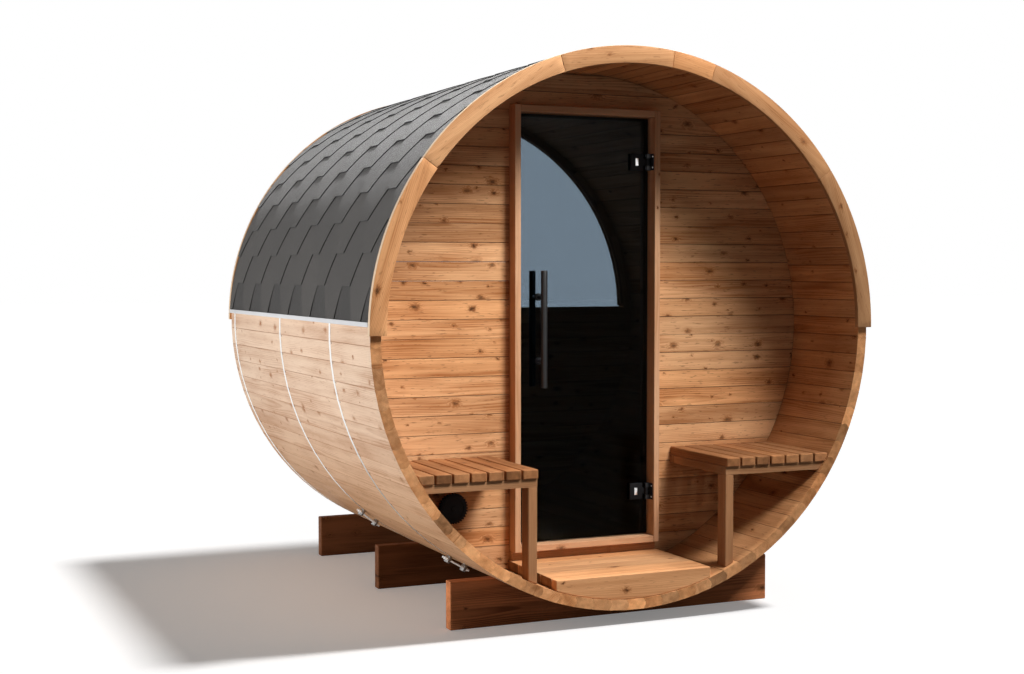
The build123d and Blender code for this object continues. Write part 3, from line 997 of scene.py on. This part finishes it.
# Hexagonal shingles in overlapping courses, with caps along the ridge
eave_angle = radians(2.56)
course_count = 13
course_step = (pi / 2 - eave_angle) / course_count
course_rise = course_step * roof_outer
course_start = 0.144
row_tabs = 8
tab_pitch = 0.3333
tab_flat = 0.102
tab_half = tab_pitch / 2 - seat_gap
tab_top = 2.05 * course_rise
tab_bends = (0.2, 0.4, 0.6, 0.8, 1.0, 1.25, 1.5, 1.75)
tab_thickness = 0.0034
least_tab = 0.005
lapped_radius = 1.1398
roof_inner = 1.13232
strip_share = 1.3


def shingle_tab(middle_y):
    """One flat tab: X is the place along the roof and Y the way up it."""
    tab = bmesh.new()
    shoulder = (tab_pitch - tab_flat) / 2
    outline = (
        (-tab_flat / 2, 0), (tab_flat / 2, 0), (shoulder, course_rise), (tab_half, course_rise),
        (tab_half, tab_top), (-tab_half, tab_top), (-tab_half, course_rise),
        (-shoulder, course_rise),
    )
    tab.faces.new([tab.verts.new((middle_y + along, rise, 0)) for along, rise in outline])
    for share in tab_bends:
        cut(tab, (0, share * course_rise, 0), y_dir, clear=False)
    cut(tab, (front_y, 0, 0), -x_dir)
    cut(tab, (back_y, 0, 0), x_dir)
    return tab


def mark_grit(tab):
    """Marks the cut edges of a tab, which are painted near black as painted shadow lines, and gives
    it its own shade.
    """
    end = tab.faces.layers.float.new("end")
    tone = tab.verts.layers.float.new("tone")
    tab.verts.layers.float_vector.new("grain")
    shade = draw.random()
    for f in tab.faces:
        f.normal_update()
        f[end] = 1.0 if abs(f.normal.z) < 0.5 else 0.0
    for v in tab.verts:
        v[tone] = shade


def wrap_tab(tab, side, course):
    """Gives a tab its thickness and bends it onto the roof at its course."""
    pull(tab, (0, 0, -tab_thickness))
    mark_grit(tab)
    for v in tab.verts:
        along, rise, lift = v.co
        radius = lapped_radius + lift - tab_thickness * rise / course_rise
        turn = eave_angle + course * course_step + rise / roof_outer
        v.co = (side * radius * cos(turn), along, axis_z + radius * sin(turn))
    if side < 0:
        bmesh.ops.reverse_faces(tab, faces=tab.faces)


for side, name, node in ((-1, "shingles_left", "roof_left"), (1, "shingles_right", "roof_right")):
    stock = new_stock()
    # A plain strip under the lowest course, with a tone of -1.3 that darkens it as painted shade in
    # the gaps between the lowest tabs
    sweep = strip_share * course_step
    start = eave_angle if side > 0 else pi - eave_angle - sweep
    strip = arc_sheet(roof_inner, lapped_radius - strip_share * tab_thickness, start, sweep, 8)
    lay(stock, thicken(strip, front_y, barrel_length, 0), y_dir, z_dir, -1.3)
    for course in range(course_count):
        first = front_y + course_start - (0 if course % 2 == 0 else tab_pitch / 2)
        for number in range(row_tabs):
            middle_y = first + number * tab_pitch
            past_back = middle_y - tab_pitch / 2 > back_y - least_tab
            if past_back or middle_y + tab_pitch / 2 < front_y + least_tab:
                continue
            tab = shingle_tab(middle_y)
            ridge = (course_count - course) * course_rise - 0.001
            cut(tab, (0, ridge, 0), y_dir)
            wrap_tab(tab, side, course)
            join(stock, tab)
    finish_piece(stock, name, shingle_grit, "shingle", (node,), smooth=30)

cap_step = 0.165
cap_lap = 1.25
cap_half = 0.11
cap_sweep = 2 * (pi / 2 - radians(84.44))
cap_thickness = 0.0021
cap_radii = (roof_outer - 0.0003, roof_outer - 0.0022)
stock = new_stock()
for number in range(int(barrel_length / cap_step) + 1):
    low = front_y + number * cap_step
    high = min(low + cap_step * cap_lap, back_y)
    points = [
        centre + Vector((cap_half, y, sqrt(radius**2 - cap_half**2)))
        for y, radius in zip((low, high), cap_radii)
    ]
    cap = swept_sheet(points, centre, cap_sweep, 10)
    pull(cap, (0, 0, -cap_thickness))
    mark_grit(cap)
    join(stock, cap)
finish_piece(stock, "ridge_caps", shingle_grit, "shingle", smooth=30)

# Metal strips along the eaves
drip_sweep = radians(0.9)
stock = bmesh.new()
for start in (eave_angle - drip_sweep, pi - eave_angle):
    strip = arc_sheet(1.1323, roof_outer + 0.001, start, drip_sweep, 3)
    join(stock, thicken(strip, front_y, barrel_length, 0.0012))
finish_piece(stock, "eave_drip_strips", eave_metal, "eave_metal", ("eave_strips",), smooth=30)

# Steel bands bent to the stave flats, given by their place and the stave joint of their tensioner
band_places = ((-0.5675, 58), (0.173, 56), (0.9965, 61))
band_width = 0.020
band_reach = 1.1313
band_thickness = 0.001
lug_reach = 1.1316
lug_length = 0.0135
lug_half = 0.0205
lug_height = 0.029
lug_spacing = 2 * band_reach * sin(half_stave)
stock = bmesh.new()
for y, joint in band_places:
    turn = (joint + 0.5) * stave_angle
    out, along = radial(turn), tangent(turn)
    band = bmesh.new()
    bmesh.ops.create_circle(
        band, segments=stave_count, radius=band_reach / cos(half_stave),
        matrix=Matrix.Translation(centre + Vector((0, y - band_width / 2, 0))) @ across_barrel
        @ Matrix.Rotation(half_stave, 4, "Z"),
    )
    pulled = bmesh.ops.extrude_edge_only(band, edges=band.edges[:])
    bmesh.ops.translate(band, vec=(0, band_width, 0), verts=moved_points(pulled))
    # The band is open between the lugs
    gap_half = (lug_spacing - lug_length) / 2
    for way in (-1, 1):
        cut(band, centre + way * along * gap_half, along, clear=False)
    gap = []
    for f in band.faces:
        spot = f.calc_center_median() - centre
        if spot.dot(out) > 0 and abs(spot.dot(along)) < gap_half:
            gap.append(f)
    bmesh.ops.delete(band, geom=gap, context="FACES")
    bmesh.ops.recalc_face_normals(band, faces=band.faces)
    band.faces.ensure_lookup_table()
    side = band.faces[0]
    side.normal_update()
    if side.normal.dot(side.calc_center_median() - centre) < 0:
        bmesh.ops.reverse_faces(band, faces=band.faces)
    bmesh.ops.solidify(band, geom=band.faces[:], thickness=band_thickness)
    join(stock, band)
finish_piece(stock, "barrel_bands", bright_steel, "band_steel", ("steel_bands",), smooth=30)


# Tensioners: two blocks on the band's ends, with a pair of threaded rods between them

def turned_place(place, out, along):
    """A matrix that puts X along a direction, Z outwards and the origin at a place."""
    side = out.cross(along)
    return Matrix.Translation(place) @ Matrix((along, side, out)).transposed().to_4x4()


def band_place(y, turn):
    """A place on the barrel under a band, with X round the barrel and Z outwards."""
    foot = centre + Vector((0, y, 0)) + radial(turn) * lug_reach
    return turned_place(foot, radial(turn), -tangent(turn))


def turned(profile, place, steps=24, closed=False):
    """A round piece from its profile of radius and height, turned about Z and put in place."""
    shape = bmesh.new()
    points = [shape.verts.new((radius, 0, height)) for radius, height in profile]
    edges = [shape.edges.new(pair) for pair in zip(points, points[1:])]
    if closed:
        edges.append(shape.edges.new((points[-1], points[0])))
    bmesh.ops.spin(
        shape, geom=points + edges, cent=(0, 0, 0), axis=z_dir, dvec=(0, 0, 0), angle=2 * pi,
        steps=steps, use_merge=True,
    )
    bmesh.ops.remove_doubles(shape, verts=shape.verts, dist=1e-7)
    bmesh.ops.recalc_face_normals(shape, faces=shape.faces)
    bmesh.ops.transform(shape, matrix=place, verts=shape.verts)
    return shape


along_x = Matrix.Rotation(pi / 2, 4, "Y")
rod_length = lug_spacing + lug_length + 0.032
rod_radius = 0.0045
rod_spread = 0.0115
rod_rise = lug_height / 2
root_share = 0.84
thread_pitch = 0.004
nut_radius = 0.0076
nut_thickness = 0.007
nut_shift = (lug_spacing + lug_length) / 2 + 0.0037


def threaded_rod(place):
    """A rod along X with ridges of thread."""
    count = 2 * int(rod_length / thread_pitch)
    ridges = [
        (
            rod_radius if number % 2 == 0 else root_share * rod_radius,
            (number / count - 0.5) * rod_length,
        )
        for number in range(count + 1)
    ]
    profile = [(0, -rod_length / 2)] + ridges + [(0, rod_length / 2)]
    return turned(profile, place @ along_x, 10)


def nut():
    """A six-sided nut along X."""
    shape = bmesh.new()
    bmesh.ops.create_cone(
        shape, cap_ends=True, segments=6, radius1=nut_radius, radius2=nut_radius,
        depth=nut_thickness, matrix=along_x,
    )
    round_edges(shape, 0.0008)
    return shape


stock = bmesh.new()
blocks = bmesh.new()
for y, joint in band_places:
    for stave_number in (joint, joint + 1):
        low = (-lug_length / 2, -lug_half, 0)
        high = (lug_length / 2, lug_half, lug_height)
        put(blocks, box_board(low, high, 0.003), band_place(y, stave_number * stave_angle))
    for shift in (-rod_spread, rod_spread):
        middle = band_place(y, (joint + 0.5) * stave_angle)
        place = middle @ Matrix.Translation((0, shift, rod_rise))
        join(stock, threaded_rod(place))
        for way in (-1, 1):
            put(stock, nut(), place @ Matrix.Translation((way * nut_shift, 0, 0)))
finish_piece(
    stock, "band_tension_screws", bright_steel, "band_steel", ("band_tensioners",), smooth=30
)
finish_piece(blocks, "band_tension_blocks", dull_steel, "band_steel", smooth=30)

# Cradles: dark planks on edge with their tops cut to the barrel
cradle_bed = 1.13102
cradle_half = 0.740
cradle_high = 0.195
cradle_depth = 0.050
cradle_edge = 0.004
bed_end = sqrt(cradle_bed**2 - (axis_z - cradle_high) ** 2)
bed_start = acos(bed_end / cradle_bed)
# The front plank's tone of 4.6 makes it far paler than the other two: painted light on a plank that
# stands in the barrel's shade
for y, node, tone in (
    (-0.894, "cradle_front", 4.6), (-0.025, "cradle_middle", 0.1), (0.844, "cradle_rear", 0.1),
):
    plank = bmesh.new()
    first = plank.verts.new((-bed_end, 0, cradle_high))
    swing(plank, [first], centre, pi - 2 * bed_start, 48)
    last = max(plank.verts, key=lambda v: v.co.x)
    corners = [
        plank.verts.new((x, 0, z))
        for x, z in (
            (cradle_half, cradle_high), (cradle_half, 0), (-cradle_half, 0),
            (-cradle_half, cradle_high),
        )
    ]
    rim = [last] + corners + [first]
    for pair in zip(rim, rim[1:]):
        plank.edges.new(pair)
    bmesh.ops.edgeloop_fill(plank, edges=plank.edges[:])
    stock = new_stock()
    lay(stock, thicken(plank, y, cradle_depth, cradle_edge), x_dir, z_dir, tone)
    finish_piece(stock, node + "_plank", cradle_wood, "cradle_wood", (node,))

# Door glass and its pull handles
glass_gap = 0.0055
glass_half = jamb_inner - glass_gap
pane = box_board(
    (-glass_half, glass_front_y, frame_bottom + frame_face + glass_gap),
    (glass_half, glass_back_y, frame_top - frame_face - glass_gap), 0.0012,
)
finish_piece(pane, "door_pane", smoked_glass, "smoked_glass", ("door_glass",), body="door")

handle_x = -0.213
handle_level = (frame_bottom + frame_top) / 2
handle_half = 0.2485
handle_reach = 0.056
bar_radius = 0.014
post_rise = 0.136
bar_end = ((0.004, 0), (0.0012, 0.0012), (0, 0.004))
bar_top = [(bar_radius - inset, handle_half - drop) for inset, drop in bar_end]
bar_profile = [(0, handle_half)] + bar_top
bar_profile = [(radius, -height) for radius, height in bar_profile] + bar_profile[::-1]
post_profile = (
    (0, 0), (0.0155, 0), (0.0155, 0.003), (0.0145, 0.0042), (0.009, 0.0042), (0.009, 0.050),
    (0, 0.050),
)
for facing, face_y, name in ((-1, glass_front_y, "outside"), (1, glass_back_y, "inside")):
    bar = Matrix.Translation((handle_x, face_y + facing * handle_reach, handle_level))
    stock = bmesh.new()
    join(stock, turned(bar_profile, bar, 32))
    for rise in (-post_rise, post_rise):
        foot = Matrix.Translation((handle_x, face_y, handle_level + rise))
        join(stock, turned(post_profile, foot @ Matrix.Rotation(-facing * pi / 2, 4, "X")))
    finish_piece(
        stock,
        "pull_handle_" + name,
        black_metal,
        "black_metal",
        ("door_handle_" + name,),
        smooth=40,
        body="door",
    )

# Hinges: a bracket with screws on the jamb, and a clamp on the glass with a bright steel plate as a
# painted highlight on its edge
hinge_x = 0.305
hinge_y = -0.607
hinge_inset = 0.221
hinge_half = 0.036
knuckle_half = 0.0145
knuckle_radius = 0.009
knuckle_bore = 0.005
knuckle_gap = 0.0015
knuckle_ease = 0.001
pin_radius = 0.0045
leaf_near = 0.0125
leaf_far = 0.0147
screw_rise = 0.024
to_left = Matrix.Rotation(-pi / 2, 4, "Y")
pin = ((0, -hinge_half), (pin_radius, -hinge_half), (pin_radius, hinge_half), (0, hinge_half))
screw_head = (
    (0, 0.0018), (0.0018, 0.0018), (0.0018, 0.0009), (0.0036, 0.0009), (0.0044, 0), (0, 0),
)
knuckle = (
    (knuckle_bore, -knuckle_half), (knuckle_radius - knuckle_ease, -knuckle_half),
    (knuckle_radius, -knuckle_half + knuckle_ease), (knuckle_radius, knuckle_half - knuckle_ease),
    (knuckle_radius - knuckle_ease, knuckle_half), (knuckle_bore, knuckle_half),
)
clamp_plates = (
    ((-0.019, 0.0037, -knuckle_half), (-0.006, 0.0147, knuckle_half), 0.001),
    ((-0.079, 0.0037, -hinge_half), (-0.017, 0.0147, hinge_half), 0.0025),
    ((-0.079, 0.0233, -hinge_half), (-0.017, 0.0343, hinge_half), 0.0025),
)


def is_nose(edge):
    """Whether an edge of a bracket block stands upright on its glass side."""
    first, second = (v.co for v in edge.verts)
    on_side = all(abs(point.x + knuckle_radius) < 1e-5 for point in (first, second))
    return on_side and abs(first.z - second.z) > 0.001


def bracket_block(way):
    """The rounded block of a bracket over or under the knuckle."""
    low, high = sorted((way * (knuckle_half + knuckle_gap), way * hinge_half))
    block = box_board((-knuckle_radius, -knuckle_radius, low), (leaf_far, knuckle_radius, high), 0)
    ease(block, [e for e in block.edges if is_nose(e)], 0.0085, 6)
    round_edges(block, 0.0008, 1, 50)
    return block


brackets = bmesh.new()
clamps = bmesh.new()
jamb_screws = bmesh.new()
clamp_highlight_plates = bmesh.new()
for level in (frame_bottom + hinge_inset, frame_top - hinge_inset):
    place = Matrix.Translation((hinge_x, hinge_y, level))
    join(brackets, turned(pin, place, 16))
    leaf = box_board((leaf_near, -0.032, -hinge_half), (leaf_far, 0.012, hinge_half), 0.0008)
    put(brackets, leaf, place)
    for rise in (-screw_rise, screw_rise):
        spot = place @ Matrix.Translation((leaf_near, -0.022, rise)) @ to_left
        join(jamb_screws, turned(screw_head, spot, 12))
    for way in (-1, 1):
        put(brackets, bracket_block(way), place)
    join(clamps, turned(knuckle, place, closed=True))
    for low, high, edge in clamp_plates:
        put(clamps, box_board(low, high, edge), place)
    # A bright steel plate that stands in for a painted highlight on the clamp's edge
    highlight_plate = box_board((-0.058, 0.0012, -0.016), (-0.044, 0.0040, 0.016), 0.0009)
    put(clamp_highlight_plates, highlight_plate, place)
for stock, name, material, slot, replaced, body in (
    (brackets, "hinge_jamb_brackets", black_metal, "black_metal", ("hinge_brackets",), "barrel"),
    (clamps, "hinge_glass_clamps", black_cap, "black_metal", ("hinge_clamps",), "door"),
    (jamb_screws, "hinge_jamb_screws", bright_steel, "band_steel", (), "barrel"),
    (clamp_highlight_plates, "hinge_clamp_highlight_plates", bright_steel, "band_steel", (), "door"),
):
    finish_piece(stock, name, material, slot, replaced, smooth=40, body=body)

# Round air vent: a dished cap with a ring of teeth round its rim
vent_radius = 0.0645
vent_margin = 0.0565
vent_reach = inner_radius - vent_margin - vent_radius
vent_middle = centre + vent_reach * radial(radians(230.5))
vent_place = Matrix.Translation(vent_middle + y_dir * (wall_front_y - seat_gap)) @ across_barrel
vent_cap = (
    (0, 0), (0.052, 0), (0.052, 0.0135), (0.058, 0.0135), (0.0600, 0.0155), (0.0600, 0.0265),
    (0.0560, 0.0300), (0.046, 0.0306), (0.044, 0.0290), (0.012, 0.0290), (0.009, 0.0312),
    (0, 0.0315),
)
tooth_count = 32
stock = bmesh.new()
join(stock, turned(vent_cap, vent_place, 48))
for number in range(tooth_count):
    tooth = box_board((0.050, -0.0030, 0.0140), (0.0643, 0.0030, 0.0300), 0.0012)
    around = Matrix.Rotation(number * 2 * pi / tooth_count, 4, "Z")
    put(stock, tooth, vent_place @ around)
finish_piece(stock, "air_vent_cap", black_cap, "black_metal", ("air_vent",), smooth=30)

# Screws through the lower staves in front of each band
screw_lean = radians(1.74)
screw_ahead = 0.02
stave_screw = ((0, 0.0006), (0.0028, 0.0006), (0.0036, 0), (0, 0))
stock = bmesh.new()
for y, _ in band_places:
    for number in range(stave_count // 2 + 1, stave_count):
        flat = number * stave_angle
        turn = flat + screw_lean * (-1 if number < 3 * stave_count / 4 else 1)
        spot = centre + barrel_radius / cos(screw_lean) * radial(turn)
        place = turned_place(spot + y_dir * (y - screw_ahead), radial(flat), y_dir)
        join(stock, turned(stave_screw, place, 8))
finish_piece(stock, "stave_screws", black_metal, "black_metal")


# Studio: pale floor, soft lights and the camera at the photograph's angle

def seen_rays(tree):
    """One for what the camera sees, straight on, mirrored or through glass, else nothing."""
    path = wire(tree, "LightPath").outputs
    seen = calc(tree, "MAXIMUM", path["Is Camera Ray"], path["Is Glossy Ray"])
    seen = calc(tree, "MAXIMUM", seen, path["Is Transmission Ray"])
    return calc(tree, "MULTIPLY", seen, calc(tree, "LESS_THAN", path["Diffuse Depth"], 0.5))


floor = bmesh.new()
under_part = Matrix.Translation((0, 0, -0.0005))
bmesh.ops.create_grid(floor, x_segments=1, y_segments=1, size=60, matrix=under_part)
mesh = bpy.data.meshes.new("studio_floor")
floor.to_mesh(mesh)
floor.free()
studio_floor = bpy.data.objects.new("studio_floor", mesh)
bpy.context.scene.collection.objects.link(studio_floor)
floor_white, tree, shader = new_material(
    "pale studio floor", Roughness=0.9, Specular_IOR_Level=0.0, Emission_Color=(1, 1, 1, 1)
)
seen = seen_rays(tree)
floor_colour = blend_colours(tree, seen, (0.18, 0.18, 0.18, 1), (0.93, 0.93, 0.93, 1))
tree.links.new(floor_colour, shader.inputs["Base Color"])
tree.links.new(calc(tree, "MULTIPLY", seen, 0.2), shader.inputs["Emission Strength"])
mesh.materials.append(floor_white)


def hang_lamp(name, kind, spot, aim, power):
    """A lamp that looks from its spot at its aim."""
    light = bpy.data.lights.new(name, kind)
    light.energy = power
    lamp = bpy.data.objects.new(name, light)
    lamp.location = spot
    lamp.rotation_euler = (Vector(aim) - Vector(spot)).to_track_quat("-Z", "Y").to_euler()
    bpy.context.scene.collection.objects.link(lamp)
    return lamp


overhead = hang_lamp("overhead light", "SUN", Vector((0.46, -0.05, 0.886)) * 12, (0, 0, 0), 2.75)
overhead.data.angle = radians(7)
key = hang_lamp("key light", "AREA", (1.5, -4.0, 5.2), (-0.5, -0.8, 0.95), 47)
key.data.size = 1.8
key.data.spread = radians(50)
fill = hang_lamp("left light", "AREA", (-5.4, -0.3, 0.7), (-1, 0.1, 0.85), 205)
fill.data.size = 2.2
off_floor = bpy.data.collections.new("floor without key and left light")
off_floor.objects.link(studio_floor)
off_floor.collection_objects[0].light_linking.link_state = "EXCLUDE"
for lamp in (key, fill):
    lamp.visible_camera = False
    lamp.light_linking.receiver_collection = off_floor

world = bpy.data.worlds.new("white studio")
bpy.context.scene.world = world
world.use_nodes = True
tree = world.node_tree
sky = tree.nodes["Background"]
sky.inputs["Color"].default_value = (1, 1, 1, 1)
strength = calc(tree, "MULTIPLY_ADD", seen_rays(tree), 0.9, 0.1)
tree.links.new(strength, sky.inputs["Strength"])

camera = bpy.data.cameras.new("photo view")
camera.sensor_width = 36
camera.lens = 53.816
viewer = bpy.data.objects.new("photo view", camera)
viewer.location = (-2.97518, -6.49118, 1.43157)
viewer.rotation_euler = (radians(87.4953), 0, radians(-24.0977))
bpy.context.scene.collection.objects.link(viewer)
bpy.context.scene.camera = viewer
bpy.context.scene.view_settings.view_transform = "Standard"
